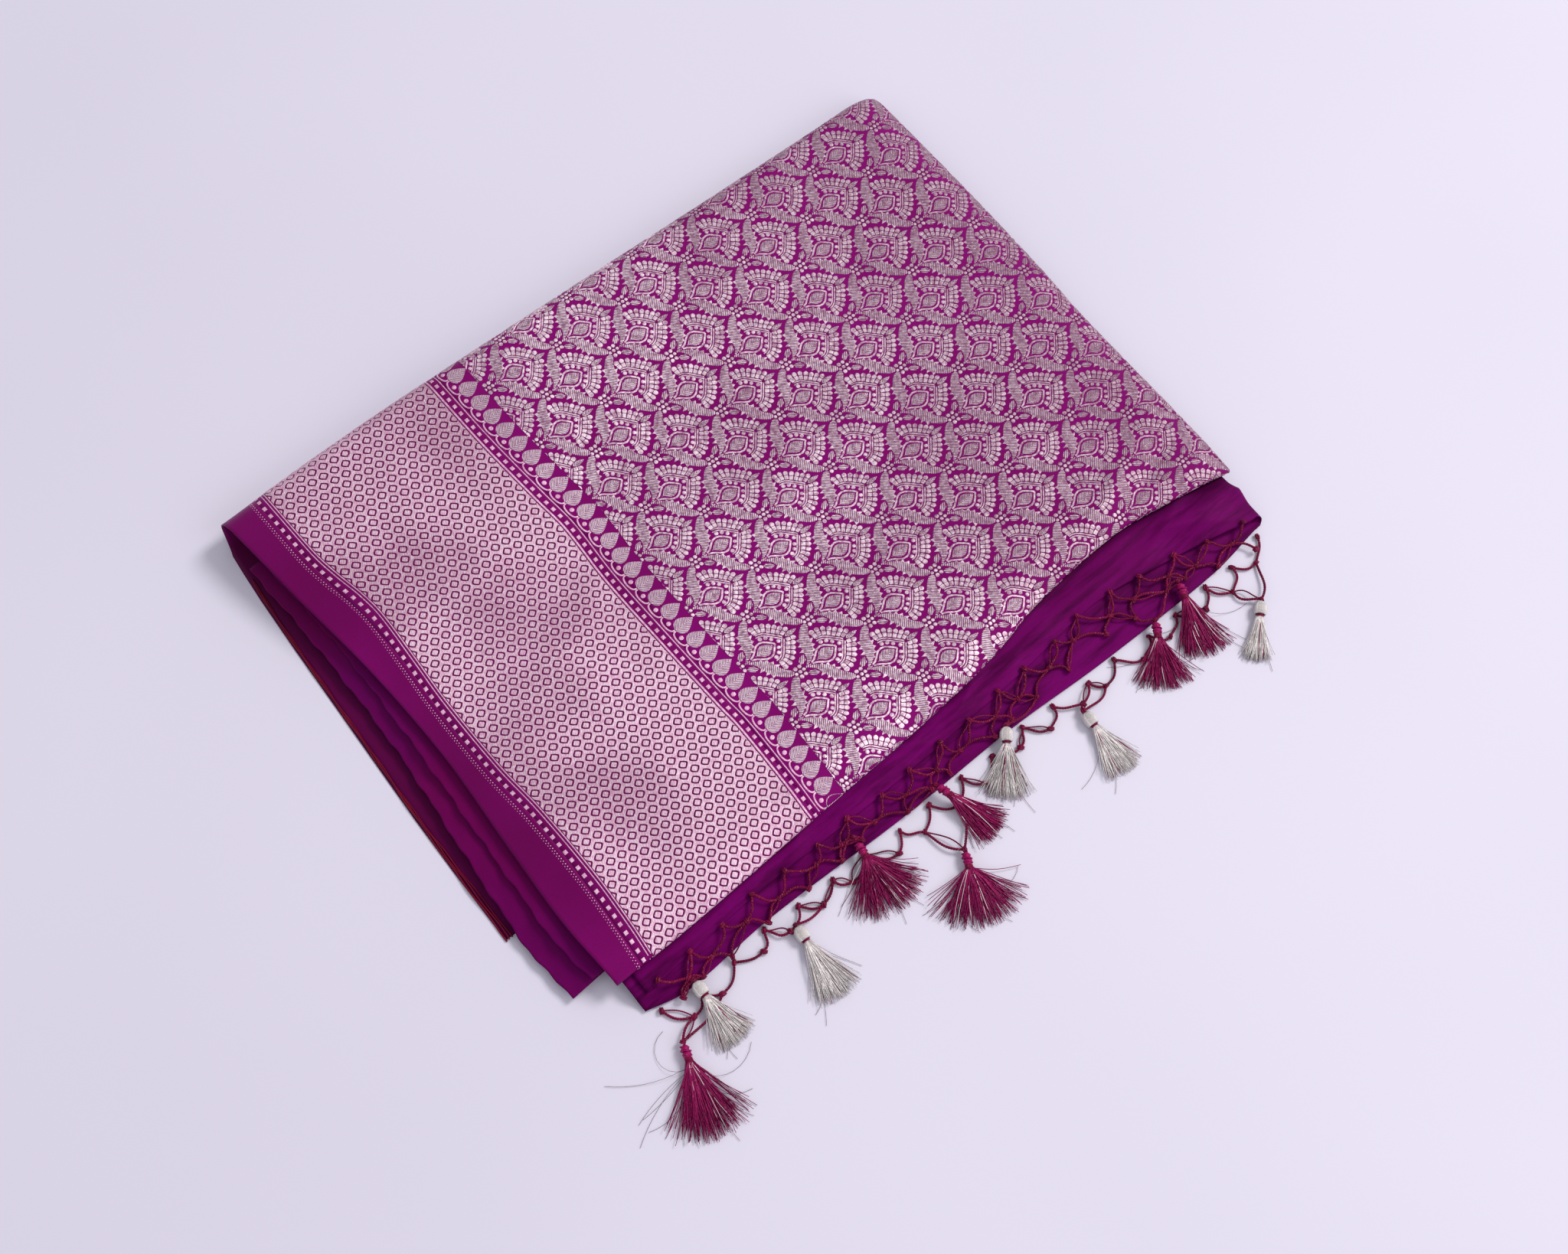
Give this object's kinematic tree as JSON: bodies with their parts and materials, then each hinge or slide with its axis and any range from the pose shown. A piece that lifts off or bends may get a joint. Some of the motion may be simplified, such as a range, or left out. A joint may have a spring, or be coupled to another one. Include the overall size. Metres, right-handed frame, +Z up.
{
  "type": "folded saree",
  "caption": "Brocade silk saree folded into a flat stack, with a woven border, a plain end piece, and a knotted net with tassels.",
  "frame": {"origin": "centre of the bounding box in plan, on the surface that the folded cloth rests on", "axes": "+X across the cloth's width, from the open selvedges to the width fold; +Y along the cloth's length, from the plain end piece with its fringe to the rounded back fold; +Z up"},
  "size_m": [0.6114, 0.5546, 0.031],
  "materials": {
    "purple_silk": "plain purple silk satin with a red weft that shows in shadow",
    "border_zari": "silver metal-thread brocade border on magenta silk",
    "field_zari": "silver metal-thread brocade field on magenta silk",
    "maroon_cord": "twisted maroon rayon and silk threads",
    "silver_thread": "fine silver metal threads with a satin-wrapped head"
  },
  "bodies": {
    "root": {"brocade_field": "field_zari", "woven_border": "border_zari", "selvedge_strip": "purple_silk", "hidden_layers": "purple_silk", "middle_layer": "purple_silk", "second_layer": "purple_silk", "end_piece": "purple_silk", "net_upper": "maroon_cord", "net_lower": "maroon_cord", "tassel_01": "silver_thread", "tassel_02": "maroon_cord", "tassel_03": "maroon_cord", "tassel_04": "silver_thread", "tassel_05": "silver_thread", "tassel_06": "maroon_cord", "tassel_07": "maroon_cord", "tassel_08": "maroon_cord", "tassel_09": "silver_thread", "tassel_10": "silver_thread", "tassel_11": "maroon_cord"}
  },
  "joints": []
}
